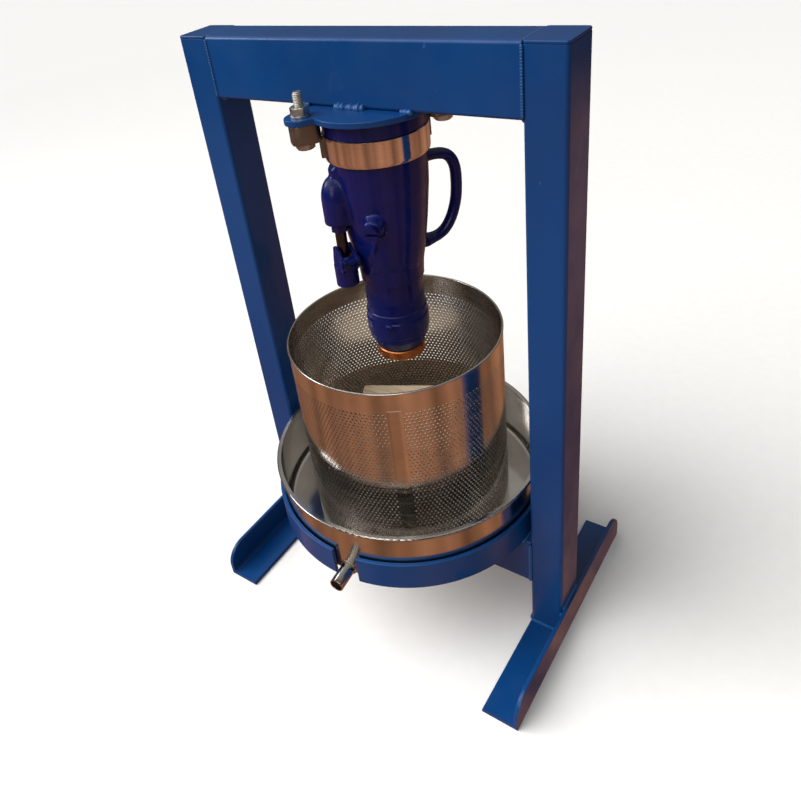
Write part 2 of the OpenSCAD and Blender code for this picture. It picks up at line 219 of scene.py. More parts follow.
world = bpy.data.worlds.new("studio")
world.use_nodes = True
world.node_tree.nodes["Background"].inputs["Color"].default_value = (0.97, 0.96, 0.95, 1)
world.node_tree.nodes["Background"].inputs["Strength"].default_value = 0.30
world.cycles.sampling_method = "NONE"
scene.world = world


def add_lamp(name, kind, place, aim, strength, colour, **settings):
    """A lamp at a place, turned to shine at a point."""
    data = bpy.data.lights.new(name, kind)
    data.energy = strength
    data.color = colour
    for setting, value in settings.items():
        setattr(data, setting, value)
    lamp = bpy.data.objects.new(name, data)
    lamp.location = place
    lamp.rotation_mode = "QUATERNION"
    lamp.rotation_quaternion = (Vector(aim) - Vector(place)).to_track_quat("-Z", "Y")
    lamp.visible_camera = False
    scene.collection.objects.link(lamp)


jack_height = (0, 0, 0.35)
add_lamp("broad_lamp", "SUN", (-1.7, -1.9, 3.4), (0, 0, 0.3), 3.6, (1, 0.99, 0.975), angle=math.radians(52))
add_lamp("window", "AREA", (-1.9, -1.0, 1.6), jack_height, 16, (0.95, 0.98, 1), size=0.9)
add_lamp("front_fill", "AREA", (0.9, -2.4, 1.5), jack_height, 14, (1, 0.97, 0.93), size=1.6)

# The lens and the middle of the view are measured in units of which the square view has 801 a side.
post_low, post_high = cad_corners("post_left")
middle_y = (post_low[1] + post_high[1]) / 2
heading = 0.6989
tilt = 0.5436
roll = -0.1567
distance = 0.9042
aim = np.array([-0.0547, middle_y, 0.4011])
view_side = 801
focal_length = 750.7
view_middle = (354.4, 310.0)
backward = np.array([math.sin(heading) * math.cos(tilt), -math.cos(heading) * math.cos(tilt),
                     math.sin(tilt)])
level = np.cross(-backward, (0, 0, 1))
level /= np.linalg.norm(level)
upright = np.cross(level, -backward)
across = level * math.cos(roll) + upright * math.sin(roll)
upward = upright * math.cos(roll) - level * math.sin(roll)
camera_data = bpy.data.cameras.new("camera")
camera_data.sensor_width = 36
camera_data.lens = focal_length / view_side * camera_data.sensor_width
camera_data.shift_x = (view_side / 2 - view_middle[0]) / view_side
camera_data.shift_y = (view_middle[1] - view_side / 2) / view_side
camera = bpy.data.objects.new("camera", camera_data)
camera.matrix_world = Matrix(np.vstack([np.c_[across, upward, backward, aim + backward * distance],
                                        (0, 0, 0, 1)]).tolist())
scene.collection.objects.link(camera)
scene.camera = camera


# ---------------------------------------------------------------- blue welded frame
# Two 40 x 50 mm posts with a beam and a lower cross tube between them, all square steel tube, sprayed
# with glossy blue enamel after welding. Flat caps close the posts, and angle feet carry them.

MM = 0.001
X, Y, Z = np.eye(3)
upright_axes = (X, Y, Z)
tube_wall = 3 * MM
tube_corner = 4 * MM
same_point = 1e-6


def raise_surface(tree, principled, grey, height, before=None):
    """Bump of a real height in metres, on top of an earlier bump where one is given."""
    bump = tree.nodes.new("ShaderNodeBump")
    bump.inputs["Distance"].default_value = height
    tree.links.new(grey, bump.inputs["Height"])
    if before:
        tree.links.new(before.outputs["Normal"], bump.inputs["Normal"])
    tree.links.new(bump.outputs["Normal"], principled.inputs["Normal"])
    return bump


def link_finish(tree, principled, colour, rough):
    """Gives the shader a colour and a roughness that change over the surface."""
    tree.links.new(colour, principled.inputs["Base Color"])
    tree.links.new(rough, principled.inputs["Roughness"])


def enamel_paint(name, deep, bright, coat):
    """Sprayed enamel: slow change of depth, orange peel, and small pale scuffs."""
    material, tree, principled = new_shader(name, {"Coat Weight": coat, "Coat Roughness": 0.09,
                                                    "Coat IOR": 1.5, "Specular IOR Level": 0.25})
    tone = colour_between(tree, speckle(tree, 5.0, (1, 1, 0.5)), [(0.3, deep), (0.72, bright)])
    scuff = colour_between(tree, speckle(tree, 130.0, (1, 1, 0.4), 6.0),
                           [(0.73, (0, 0, 0)), (0.78, (1, 1, 1))])
    mix = tree.nodes.new("ShaderNodeMix")
    mix.data_type = "RGBA"
    mix.inputs["B"].default_value = (*[1.3 * part + 0.02 for part in bright], 1)
    tree.links.new(scuff, mix.inputs["Factor"])
    tree.links.new(tone, mix.inputs["A"])
    link_finish(tree, principled, mix.outputs["Result"], spread(tree, speckle(tree, 24.0), 0.26, 0.44))
    peel = raise_surface(tree, principled, speckle(tree, 260.0, detail=2.0), 0.00012)
    raise_surface(tree, principled, speckle(tree, 18.0, detail=2.0), 0.0006, peel)
    return material


def close_up(mesh, open_levels=()):
    """Merges doubled points, joins inner and outer rims at given heights, and turns faces outward."""
    work = bmesh.new()
    work.from_mesh(mesh)
    bmesh.ops.remove_doubles(work, verts=work.verts, dist=same_point)
    for level in open_levels:
        rims = [edge for edge in work.edges
                if edge.is_boundary and abs(edge.verts[0].co.z - level) < 10 * same_point]
        bmesh.ops.bridge_loops(work, edges=rims)
    bmesh.ops.recalc_face_normals(work, faces=work.faces)
    work.to_mesh(mesh)
    work.free()


def finish_piece(name, mesh, body, material, stands_for=None, crease=32, flats=True):
    """Shades a mesh smooth between its creases, links it to its body and hides the CAD node it stands for.
    """
    mesh.shade_smooth()
    mesh.set_sharp_from_angle(angle=math.radians(crease))
    mesh.materials.clear()
    mesh.materials.append(material)
    made = bpy.data.objects.new(name, mesh)
    scene.collection.objects.link(made)
    if flats:
        flat = made.modifiers.new("flat_faces_stay_flat", "WEIGHTED_NORMAL")
        flat.weight = 100
        flat.keep_sharp = True
    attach(made, body)
    if stands_for:
        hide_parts(stands_for)
    return made


def make_piece(name, sheets, body, material, stands_for=None, crease=32):
    """One object from sheets, each a grid of points whose columns run round, and its kind: a bar has
    its ends capped, a ring joins its last row to its first, and a spindle runs out in two points."""
    points, faces, start = [], [], 0
    for grid, kind in sheets:
        rows, columns = grid.shape[:2]
        points.append(grid.reshape(-1, 3))
        faces += (band_faces(rows, columns, kind == "ring") + start).tolist()
        if kind == "bar":
            faces.append(list(range(start, start + columns)))
            faces.append(list(range(start + (rows - 1) * columns, start + rows * columns)))
        start += rows * columns
    mesh = bpy.data.meshes.new(name)
    mesh.from_pydata(np.concatenate(points).tolist(), [], faces)
    close_up(mesh)
    return finish_piece(name, mesh, body, material, stands_for, crease)


def rounded_outline(width, depth, corner, inset=0.0, steps=7):
    """Points round a rectangle with round corners, drawn in all round by inset."""
    radius = max(corner - inset, 2e-5)
    angle = np.concatenate([np.linspace(k, k + 1, steps) * math.pi / 2 for k in range(4)])
    side_x = np.repeat([1, -1, -1, 1], steps) * (width / 2 - inset - radius)
    side_y = np.repeat([1, 1, -1, -1], steps) * (depth / 2 - inset - radius)
    return np.c_[side_x + radius * np.cos(angle), side_y + radius * np.sin(angle)]


def eased_ends(low, high, ease, steps=5):
    """Stations (height, inset) along a bar whose end edges are quarter rounds of radius ease."""
    angle = np.linspace(0, math.pi / 2, steps)
    inset = ease * (1 - np.sin(angle))
    rise = ease * (1 - np.cos(angle))
    return np.r_[np.c_[low + rise, inset], np.c_[high - rise[::-1], inset[::-1]]]


def carried(outline, stations):
    """A grid: the outline at each station's inset, at that station's height."""
    return np.stack([np.insert(outline(inset), 2, height, axis=1) for height, inset in stations])


def placed(grid, origin, axes=upright_axes):
    """Turns local coordinates into the frame's, along three given directions from an origin."""
    return np.array(origin, float) + grid @ np.array(axes, float)


def rounded_bar(width, depth, corner, stations, origin, axes=upright_axes):
    """A capped bar of rectangular section with round corners, carried along the third of its axes."""
    grid = carried(lambda inset: rounded_outline(width, depth, corner, inset), stations)
    return placed(grid, origin, axes), "bar"


def square_tube(node, along):
    """A hollow tube with eased ends that fills its CAD node's box: along is 0 for X or 2 for Z."""
    low, high = cad_corners(node)
    size = high - low
    axes = (X, Y, Z) if along == 2 else (Y, Z, X)
    width, depth = (size[0], size[1]) if along == 2 else (size[1], size[2])
    half = size[along] / 2
    inside = [[half, tube_wall], [-half, tube_wall]]
    stations = np.r_[eased_ends(-half, half, 0.5 * MM, 3), inside]
    grid = carried(lambda inset: rounded_outline(width, depth, tube_corner, inset), stations)
    return placed(grid, (low + high) / 2, axes), "ring"


frame_paint = enamel_paint("frame_paint", (0.0011, 0.033, 0.138), (0.0018, 0.052, 0.192), 0.28)
for tube, name, along in (("post_left", "post_left_steel", 2), ("post_right", "post_right_steel", 2),
                          ("top_beam", "top_beam_steel", 0), ("cross_member", "cross_tube_steel", 0)):
    make_piece(name, [square_tube(tube, along)], "frame", frame_paint, tube)

cap_low, cap_high = cad_corners("post_caps")
post_size = post_high - post_low
cap_stations = eased_ends(0, cap_high[2] - cap_low[2], 1.1 * MM)
caps = [rounded_bar(post_size[0], post_size[1], tube_corner, cap_stations,
                    (side * (cap_high[0] - post_size[0] / 2), middle_y, cap_low[2])) for side in (-1, 1)]
make_piece("post_top_caps", caps, "frame", frame_paint, "post_caps")


# ---------------------------------------------------------------- angle feet
# Each foot is a length of 45 x 45 x 5 mm steel angle. Its flat leg lies under the post, and its
# standing leg, with two large rounded corners, is welded to the post's outer face.

foot_leg = 45 * MM
foot_wall = 5 * MM
foot_round = 28 * MM
toe = 2 * MM
blunt = 0.6 * MM


def arc(radius, first, last, steps):
    """Points in a plane on an arc round its origin, from one angle to another."""
    angle = np.linspace(first, last, steps)
    return np.c_[radius * np.cos(angle), radius * np.sin(angle)]


def angle_section(heights):
    """The L of the angle iron at each height of its standing leg: rows of (inward, up) points."""
    toe_round = arc(toe, 0, math.pi / 2, 5)
    fillet = arc(foot_wall, -math.pi / 2, -math.pi, 7)
    flat_leg = np.r_[[(blunt, 0), (foot_leg - 0.5 * MM, 0), (foot_leg, 0.5 * MM)],
                     toe_round + (foot_leg - toe, foot_wall - toe), fillet + 2 * foot_wall]
    tip = np.r_[toe_round + (foot_wall - toe, -toe), [(blunt, 0), (0, -blunt)]]
    rows = len(heights)
    return np.concatenate([np.broadcast_to(flat_leg, (rows, *flat_leg.shape)),
                           tip + heights[:, None, None] * (0, 1),
                           np.broadcast_to([0, blunt], (rows, 1, 2))], 1)


for foot, side in (("foot_left", -1), ("foot_right", 1)):
    low, high = cad_corners(foot)
    bend = np.linspace(0, math.pi / 2, 18)
    run = foot_round * (1 - np.cos(bend))
    rise = (high[2] - low[2]) - foot_round + foot_round * np.sin(bend)
    along = np.r_[low[1] + run, high[1] - run[::-1]]
    section = angle_section(np.r_[rise, rise[::-1]])
    outer = high[0] if side > 0 else low[0]
    grid = np.stack([outer - side * section[..., 0], np.repeat(along[:, None], section.shape[1], 1),
                     low[2] + section[..., 1]], -1)
    make_piece(foot + "_angle", [(grid, "bar")], "frame", frame_paint, foot, 40)


# ---------------------------------------------------------------- hoop under the tray
# A flat steel bar rolled into a hoop and welded onto the cross tube. It holds the tray in place and
# is left open at the front, where the spout passes.

hoop_low, hoop_high = cad_corners("cradle_ring")
hoop_outer = hoop_high[0]
hoop_tall = hoop_high[2] - hoop_low[2]
hoop_bar = 5 * MM
hoop_middle = (0, middle_y)
spout_turn = math.radians(5)
slot_half = 16 * MM

section = rounded_outline(hoop_bar, hoop_tall, 1.2 * MM, steps=4)
radius = hoop_outer - hoop_bar / 2 + section[:, 0]
gap = np.arcsin(slot_half / radius)
share = np.linspace(0, 1, 241)[:, None]
angle = -math.pi / 2 + spout_turn + gap + share * (2 * math.pi - 2 * gap)
hoop = polar(radius, angle, hoop_low[2] + hoop_tall / 2 + section[:, 1], hoop_middle)
make_piece("tray_hoop", [(hoop, "bar")], "frame", frame_paint, "cradle_ring")


# ---------------------------------------------------------------- jack plate
# A 6 mm steel plate under the beam, cut round with two ears for the bolts and straight flanks, and
# painted with the frame. The jack hangs from it.

ram_low, ram_high = cad_corners("ram")
jack_middle = (ram_low[:2] + ram_high[:2]) / 2
jack_origin = np.array([*jack_middle, 0])
plate_low, plate_high = cad_corners("jack_plate")
bolt_turn = math.radians(50)
bolt_reach = 72 * MM
ear_round = 17 * MM
plate_round = 65 * MM
flank = (65 * MM, 37.1 * MM)
flank_turn = math.radians(28)


def plate_outline(inset):
    """The furthest of a circle, two round ears and a turned rectangle, as distance over the angle."""
    angle = whole_turn(480)
    lean = (angle - bolt_turn + math.pi / 2) % math.pi - math.pi / 2
    side = np.abs(bolt_reach * np.sin(lean))
    round_end = bolt_reach * np.cos(lean) + np.sqrt(np.maximum(ear_round ** 2 - side ** 2, 0))
    ear = np.where(side < ear_round, round_end, ear_round / np.maximum(np.abs(np.sin(lean)), 1e-6))
    turned = angle - flank_turn
    slab = np.minimum(flank[0] / np.maximum(np.abs(np.cos(turned)), 1e-6),
                      flank[1] / np.maximum(np.abs(np.sin(turned)), 1e-6))
    reach = np.maximum(np.maximum(ear, slab), plate_round) - inset
    return np.c_[reach * np.cos(angle), reach * np.sin(angle)]


plate = placed(carried(plate_outline, eased_ends(plate_low[2], plate_high[2], 0.9 * MM, 4)), jack_origin)
make_piece("jack_hanger_plate", [(plate, "bar")], "frame", frame_paint, "jack_plate")


# ---------------------------------------------------------------- weld beads
# The frame is joined by stick welds laid in short overlapping crescents, chipped clean and painted
# over. They run round the posts, along the beam and plate, and where the hoop meets the cross tube.

def weld_bead(path, size, seed, ripple=2.6 * MM):
    """A round bead along a path: its radius swells and sinks once for each crescent of the weld."""
    path = np.array(path, float)
    mark = np.r_[0, np.cumsum(np.linalg.norm(np.diff(path, axis=0), axis=1))]
    count = max(int(mark[-1] / (0.5 * MM)), 12)
    run = np.linspace(0, mark[-1], count)
    line = np.stack([np.interp(run, mark, path[:, k]) for k in range(3)], 1)
    ahead = np.gradient(line, axis=0)
    ahead /= np.linalg.norm(ahead, axis=1)[:, None]
    side = np.cross(np.where(np.abs(ahead[:, 2:3]) < 0.8, Z, X), ahead)
    side /= np.linalg.norm(side, axis=1)[:, None]
    top = np.cross(ahead, side)
    turn = whole_turn(14)
    wander = np.random.default_rng(seed).normal(0, 0.07, count)
    wander = np.convolve(wander, np.ones(5) / 5, "same")
    crescent = 0.13 * np.sin(2 * math.pi * run[:, None] / ripple + 1.1 * np.cos(turn))
    close = np.clip(np.minimum(run, mark[-1] - run) / (1.2 * size), 0, 1)
    taper = np.sqrt(1 - (1 - close) ** 2)
    thick = size * (1 + crescent + wander[:, None]) * taper[:, None]
    return line[:, None] + thick[..., None] * (np.cos(turn)[:, None] * side[:, None]
                                               + np.sin(turn)[:, None] * top[:, None])


def lay_bead(size, seed, start, stop):
    """Adds a straight bead of a size in millimetres to the frame's beads."""
    beads.append(weld_bead([start, stop], size * MM, seed))


beam_low, beam_high = cad_corners("top_beam")
cross_low, cross_high = cad_corners("cross_member")
front, back = beam_low[1], beam_high[1]
hoop_foot = cross_high[2] + 0.5 * MM
sweep = math.asin(25 * MM / hoop_outer)
sweep_turn = np.linspace(-sweep, sweep, 12)
beads = []
for side in (-1, 1):
    inner = side * beam_high[0]
    outer = side * (beam_high[0] + post_size[0])
    for face in (front, back):
        lay_bead(1.5, 11 + side, (inner, face, beam_low[2] + 2 * MM), (inner, face, beam_high[2] - 3 * MM))
        lay_bead(2.2, 21 + side, (inner, face, cross_low[2] + 2 * MM), (inner, face, cross_high[2] - 3 * MM))
    for height, size in ((beam_high[2] - 0.6 * MM, 1.3), (beam_low[2], 4.2), (cross_high[2], 2.6),
                         (cross_low[2], 3.4)):
        lay_bead(size, 31 + side, (inner, front + 4 * MM, height), (inner, back - 4 * MM, height))
    for face in (front, back):
        lay_bead(2.8, 41 + side, (inner, face, foot_wall), (outer - side * 3 * MM, face, foot_wall))
        lay_bead(2.4, 51 + side, (outer, face, foot_wall + 2 * MM), (outer, face, foot_leg - 2 * MM))
    lay_bead(2.8, 61 + side, (inner, front, foot_wall), (inner, back, foot_wall))
    lay_bead(2.2, 71 + side, (outer, front + 3 * MM, foot_leg), (outer, back - 3 * MM, foot_leg))
    for face in (front, back):
        reach = math.sqrt(hoop_outer ** 2 - (face - middle_y) ** 2)
        lay_bead(2.6, 81 + side, (side * (reach - 10 * MM), face, hoop_foot),
                 (side * (reach + 2 * MM), face, hoop_foot))
    curve = np.c_[side * (hoop_outer + 0.6 * MM) * np.cos(sweep_turn),
                  middle_y + hoop_outer * np.sin(sweep_turn), np.full(12, cross_high[2] + 0.4 * MM)]
    beads.append(weld_bead(curve, 2.2 * MM, 91 + side))
plate_edge = (front - 0.8 * MM, plate_high[2] + 0.8 * MM)
for start, stop, size in ((-18, -2, 4.6), (-4, 8, 4.0), (6, 19, 5.6), (-62, -48, 2.6), (58, 72, 2.8)):
    beads.append(weld_bead([(start * MM, *plate_edge), (stop * MM, *plate_edge)], size * MM, 100 + start,
                           5 * MM))
plate_edge = (back + 0.6 * MM, plate_high[2] + 0.6 * MM)
lay_bead(2.6, 140, (-48 * MM, *plate_edge), (52 * MM, *plate_edge))
bead_low = (cad_box[0][0], -1, 0.2 * MM)
bead_high = (cad_box[1][0], 1, cad_box[1][2] + 0.5 * MM)
# Painted highlight: the beads take a lighter copy of the frame's enamel, so that they read bright, though
# they are painted over with the same enamel.
lightened_weld_paint = enamel_paint("lightened_weld_paint", (0.002, 0.050, 0.185), (0.004, 0.085, 0.28), 1.0)
make_piece("weld_beads", [(np.clip(bead, bead_low, bead_high), "spindle") for bead in beads], "frame",
           lightened_weld_paint, crease=70)


# ---------------------------------------------------------------- clamp band
# A polished steel band round the neck of the jack, with two folded lugs through which the bolts
# pull it up against the plate.

clamp_low, clamp_high = cad_corners("clamp_ring")
neck_clear = 51.0 * MM
band_outer = 54.0 * MM
band_top = clamp_low[2] + 27 * MM


def eased(corners, ease, steps=4):
    """A closed profile whose corners become short curves that start ease away from each corner."""
    corners = np.array(corners, float)
    before, after = np.roll(corners, 1, 0) - corners, np.roll(corners, -1, 0) - corners
    lengths = np.linalg.norm(before, axis=1), np.linalg.norm(after, axis=1)
    reach = np.minimum(ease, np.minimum(lengths[0], lengths[1]) * 0.45)[:, None]
    start = corners + before / lengths[0][:, None] * reach
    stop = corners + after / lengths[1][:, None] * reach
    t = np.linspace(0, 1, steps)[None, :, None]
    curve = (1 - t) ** 2 * start[:, None] + 2 * t * (1 - t) * corners[:, None] + t ** 2 * stop[:, None]
    return curve.reshape(-1, 2)


def turned_on_lathe(profile, segments, centre=(0, 0)):
    """Spins a closed profile of (radius, height) points about an upright axis through centre."""
    profile = np.array(profile, float)
    return polar(profile[:, :1], whole_turn(segments), profile[:, 1:], centre), "ring"


def steel_surface(name, tones, rough, streaks, streak_scale, scratch=0.00003):
    """Bare metal: a slow change of tone, polishing lines along one direction, fine scratches."""
    material, tree, principled = new_shader(name, {"Metallic": 1.0})
    tone = colour_between(tree, speckle(tree, 14.0), [(0.3, tones[0]), (0.7, tones[1])])
    link_finish(tree, principled, tone, spread(tree, speckle(tree, streak_scale, streaks, 3.0), *rough))
    lines = raise_surface(tree, principled, speckle(tree, streak_scale * 2.4, streaks, 2.0), scratch)
    raise_surface(tree, principled, speckle(tree, 420.0, detail=2.0), scratch * 0.6, lines)
    return material


# The warm tint of these tones is a painted reflection of a warm floor; the slow change between them is
# random.
clamp_steel = steel_surface("clamp_steel", ((0.66, 0.58, 0.52), (0.80, 0.72, 0.66)), (0.07, 0.16),
                            (1, 1, 30), 12.0)
band = eased([(neck_clear, clamp_low[2]), (band_outer - 0.5 * MM, clamp_low[2]),
              (band_outer, clamp_low[2] + 2.5 * MM), (band_outer, band_top), (neck_clear, band_top)],
             0.7 * MM)
make_piece("polished_clamp", [turned_on_lathe(band, 192, jack_middle)], "frame", clamp_steel,
           "clamp_ring")

lugs = []
bolt_places = []
lug_stations = eased_ends(clamp_high[2] - 20 * MM, clamp_high[2] - 0.1 * MM, 1.2 * MM, 4)
gusset_stations = eased_ends(clamp_low[2] + 4 * MM, clamp_high[2] - 18 * MM, 1.0 * MM, 3)
for turn in (bolt_turn, bolt_turn + math.pi):
    out = np.array([math.cos(turn), math.sin(turn), 0])
    axes = (out, np.cross(Z, out), Z)
    place = jack_origin + bolt_reach * out
    bolt_places.append(place)
    lugs.append(rounded_bar(30 * MM, 26 * MM, 9 * MM, lug_stations, place - 1.5 * MM * out, axes))
    lugs.append(rounded_bar(14 * MM, 5 * MM, 1.5 * MM, gusset_stations, place - 21 * MM * out, axes))
lug_steel = steel_surface("lug_steel", ((0.20, 0.18, 0.16), (0.36, 0.33, 0.30)), (0.30, 0.48), (1, 1, 1),
                          70.0, 0.0001)
make_piece("clamp_lugs", lugs, "frame", lug_steel)


# ---------------------------------------------------------------- bolts, nuts and washers
# Two zinc-plated hexagon bolts pass up through lug and plate. Each has a washer and a nut on top,
# and its threaded end stands proud of the nut.

bolt_low, bolt_high = cad_corners("jack_bolts")
nut_low, nut_high = cad_corners("jack_nuts")
washer_low, washer_high = cad_corners("jack_washers")
head_top = bolt_low[2] + 6.4 * MM
flat_half = 8.5 * MM
washer_hole = 5.3 * MM
washer_r = 10 * MM


def hexagon(low, high, steps, both_ends):
    """A hexagon's distance over angle and height, turned down by a cone below, or at both ends."""
    angle = whole_turn(72)
    height = np.linspace(low, high, steps)[:, None]
    flat = flat_half / np.cos((angle + math.pi / 6) % (math.pi / 3) - math.pi / 6)
    room = flat_half * 0.98 + (height - low) * 1.9
    if both_ends:
        room = np.minimum(room, flat_half * 0.98 + (high - height) * 1.9)
    return polar(np.minimum(flat, room), angle, height)


def threaded_rod(low, high, radius, pitch, depth):
    """A rod whose radius falls and rises once for each pitch, and runs on by one pitch a turn."""
    height = np.linspace(low, high, max(int((high - low) / pitch * 8), 8))[:, None]
    angle = whole_turn(28)
    wave = 0.5 - 0.5 * np.cos(2 * math.pi * height / pitch - angle)
    ends = np.clip(np.minimum(height - low, high - height) / (1.1 * pitch), 0.55, 1)
    return polar(radius - depth * wave - (1 - ends) * radius * 0.35, angle, height)


zinc = steel_surface("zinc", ((0.42, 0.41, 0.38), (0.62, 0.60, 0.55)), (0.28, 0.48), (1, 1, 1), 90.0,
                     0.00008)
head = hexagon(bolt_low[2], head_top, 9, False)
shank = threaded_rod(head_top - 0.5 * MM, bolt_high[2], 5 * MM, 1.5 * MM, 0.7 * MM)
nut = hexagon(nut_low[2], nut_high[2], 13, True)
washer = eased([(washer_hole, washer_low[2]), (washer_r, washer_low[2]), (washer_r, washer_high[2]),
                (washer_hole, washer_high[2])], 0.4 * MM)
make_piece("hex_bolts", [(placed(grid, place), "bar") for place in bolt_places for grid in (head, shank)],
           "frame", zinc, "jack_bolts", 38)
make_piece("hex_nuts", [(placed(nut, place), "bar") for place in bolt_places], "frame", zinc,
           "jack_nuts")
make_piece("flat_washers", [turned_on_lathe(washer, 48, place) for place in bolt_places], "frame", zinc,
           "jack_washers")


# ---------------------------------------------------------------- jack casting
# The cast base of the bottle jack, hung upside down: a flared body with the pump boss at one side,
# the release valve boss beside it, all in one rough-cast surface under thick navy gloss paint.

jack_paint, tree, principled = new_shader("jack_paint", {"Coat Weight": 0.3, "Coat Roughness": 0.05,
                                                         "Specular IOR Level": 0.2})
navy = colour_between(tree, speckle(tree, 16.0),
                      [(0.3, (0.0014, 0.0042, 0.062)), (0.7, (0.0024, 0.007, 0.105))])
link_finish(tree, principled, navy, spread(tree, speckle(tree, 60.0), 0.22, 0.42))
cast_skin = raise_surface(tree, principled, speckle(tree, 150.0, detail=3.0), 0.0003)
raise_surface(tree, principled, speckle(tree, 40.0, detail=2.0), 0.0009, cast_skin)

jack_turn = math.radians(58)
jack_out = np.array([math.cos(jack_turn), math.sin(jack_turn), 0])
jack_wide = np.array([-math.sin(jack_turn), math.cos(jack_turn), 0])
jack_axes = (jack_out, jack_wide, Z)
plate_z = plate_low[2]
lip = cad_corners("jack_base")[0][2]
tube_low, tube_high = cad_corners("reservoir_tube")
tube_r = (tube_high[0] - tube_low[0]) / 2
bore = tube_r + 0.05 * MM
well_top = plate_z - 53 * MM
neck_top = plate_z - 17 * MM
flare_points = np.array([(0, 35.0), (7, 35.2), (18, 36.2), (39, 40.4), (70, 44.8), (108, 49.0),
                         (135, 50.3), (171, 50.6), (188, 50.6)]) * MM
pump_reach = 53 * MM
pump_low = plate_z - 110 * MM
pump_high = plate_z - 58 * MM
pump_round = 14.5 * MM
valve_turn = math.radians(232)
valve_z = plate_z - 108 * MM
valve_reach = 50 * MM


def smooth_step(low, high, value):
    """Rises from 0 to 1 between low and high with level ends."""
    t = np.clip((value - low) / (high - low), 0, 1)
    return t * t * (3 - 2 * t)


def turned_from(angle, zero):
    """The angle past a zero direction, between minus and plus half a turn."""
    return (angle - zero + math.pi) % (2 * math.pi) - math.pi


def casting_reach(height, angle):
    """Distance of the casting's skin from the jack's axis. It is the furthest of a flared body, a round
    pump boss with a domed end, a web above the boss, a round valve boss and a slanting ridge below it."""
    height, angle = np.broadcast_arrays(height, angle)
    body = np.interp(height, lip + flare_points[:, 0], flare_points[:, 1])
    lean = turned_from(angle, math.pi)
    side = np.abs(pump_reach * np.sin(lean))
    dome = np.clip((height - (pump_high - 26 * MM)) / (27 * MM), 0, 1)
    girth = pump_round * np.sqrt(np.clip(1 - dome ** 2, 0, 1))
    girth = girth * smooth_step(pump_low - 0.8 * MM, pump_low + 0.8 * MM, height)
    knob = np.where((side < girth) & (np.cos(lean) > 0),
                    pump_reach * np.cos(lean) + np.sqrt(np.maximum(girth ** 2 - side ** 2, 0)), 0)
    web = body + (4.5 * MM * (1 - smooth_step(5 * MM, 11 * MM, side))
                  * smooth_step(pump_high - 30 * MM, pump_high - 22 * MM, height)
                  * (1 - smooth_step(pump_high + 6 * MM, pump_high + 13 * MM, height)))
    web = np.where(np.cos(lean) > 0, web, 0)
    sway = turned_from(angle, valve_turn)
    aside = valve_reach * np.sin(sway)
    far = np.hypot(aside, height - valve_z) / (11 * MM)
    hub = np.where(np.cos(sway) > 0, body + (57 * MM - body) * (1 - smooth_step(0.80, 1.25, far)), 0)
    crest = aside - 0.55 * (height - valve_z) - 9 * MM
    ridge = body + 3.2 * MM * (np.exp(-(crest / (5 * MM)) ** 2)
                               * np.exp(-((height - valve_z + 18 * MM) / (16 * MM)) ** 2))
    ridge = np.where(np.cos(sway) > 0, ridge, 0)
    return np.maximum.reduce([body, knob, web, hub, ridge])


def softened_grid(values, passes):
    """Blurs a grid of distances, closed round its columns, so that casts meet in fillets."""
    for _ in range(passes):
        values = 0.25 * np.roll(values, 1, 1) + 0.5 * values + 0.25 * np.roll(values, -1, 1)
        padded = np.vstack([values[:1], values, values[-1:]])
        values = 0.25 * padded[:-2] + 0.5 * values + 0.25 * padded[2:]
    return values


heights = np.linspace(lip + 1.2 * MM, neck_top, 200)[:, None]
angles = whole_turn(320)
reach = softened_grid(casting_reach(heights, angles), 3)
reach = np.where(heights > clamp_low[2] - 2 * MM, np.minimum(reach, neck_clear - 0.25 * MM), reach)
mouth = reach[0].min()
well_rows = np.array([(0, well_top), (bore, well_top), (bore, lip + 0.6 * MM), (bore + 0.4 * MM, lip),
                      (mouth - 1.2 * MM, lip), (mouth - 0.3 * MM, lip + 0.4 * MM)])
skin = np.vstack([polar(well_rows[:, :1], angles, well_rows[:, 1:]), polar(reach, angles, heights),
                  polar(0, angles, neck_top)[None]])
flange = eased([(0, neck_top), (53 * MM, neck_top), (53 * MM, plate_z - 0.05 * MM),
                (0, plate_z - 0.05 * MM)], 1.0 * MM)
lug_middle = (-pump_reach, -16 * MM, plate_z - 124.96 * MM)
lug, kind = rounded_bar(13 * MM, 62 * MM, 6.3 * MM, eased_ends(-6 * MM, 6 * MM, 0.9 * MM, 4), lug_middle,
                        (Y, Z, X))
casting = make_piece("jack_casting", [(placed(skin, jack_origin, jack_axes), "spindle"),
                                      turned_on_lathe(flange, 160, jack_middle),
                                      (placed(lug, jack_origin, jack_axes), kind)],
                     "frame", jack_paint, "jack_base", 50)


def drill(piece, name, origin, along, low, high, radius):
    """Bores a round hole along a direction with a cutter that is removed again."""
    guide = np.cross(along, X if abs(along[0]) < 0.8 else Y)
    guide /= np.linalg.norm(guide)
    plug = polar(radius, whole_turn(40), np.array([[low], [high]]))
    plug = placed(plug, origin, (guide, np.cross(along, guide), along))
    mesh = bpy.data.meshes.new(name)
    faces = band_faces(2, 40, False).tolist() + [list(range(40)), list(range(40, 80))]
    mesh.from_pydata(plug.reshape(-1, 3).tolist(), [], faces)
    close_up(mesh)
    cutter = bpy.data.objects.new(name, mesh)
    scene.collection.objects.link(cutter)
    cut = piece.modifiers.new(name, "BOOLEAN")
    cut.object = cutter
    cut.solver = "EXACT"
    bpy.context.view_layer.update()
    depsgraph = bpy.context.evaluated_depsgraph_get()
    bored = bpy.data.meshes.new_from_object(piece.evaluated_get(depsgraph))
    piece.modifiers.remove(cut)
    piece.data = bored
    bpy.data.objects.remove(cutter)


valve_out = math.cos(valve_turn) * jack_out + math.sin(valve_turn) * jack_wide
drill(casting, "pump_bore", jack_origin - pump_reach * jack_out, Z, pump_low - 20 * MM, pump_low + 44 * MM,
      6.05 * MM)
drill(casting, "valve_bore", (*jack_middle, valve_z), valve_out, 36 * MM, 70 * MM, 5.05 * MM)


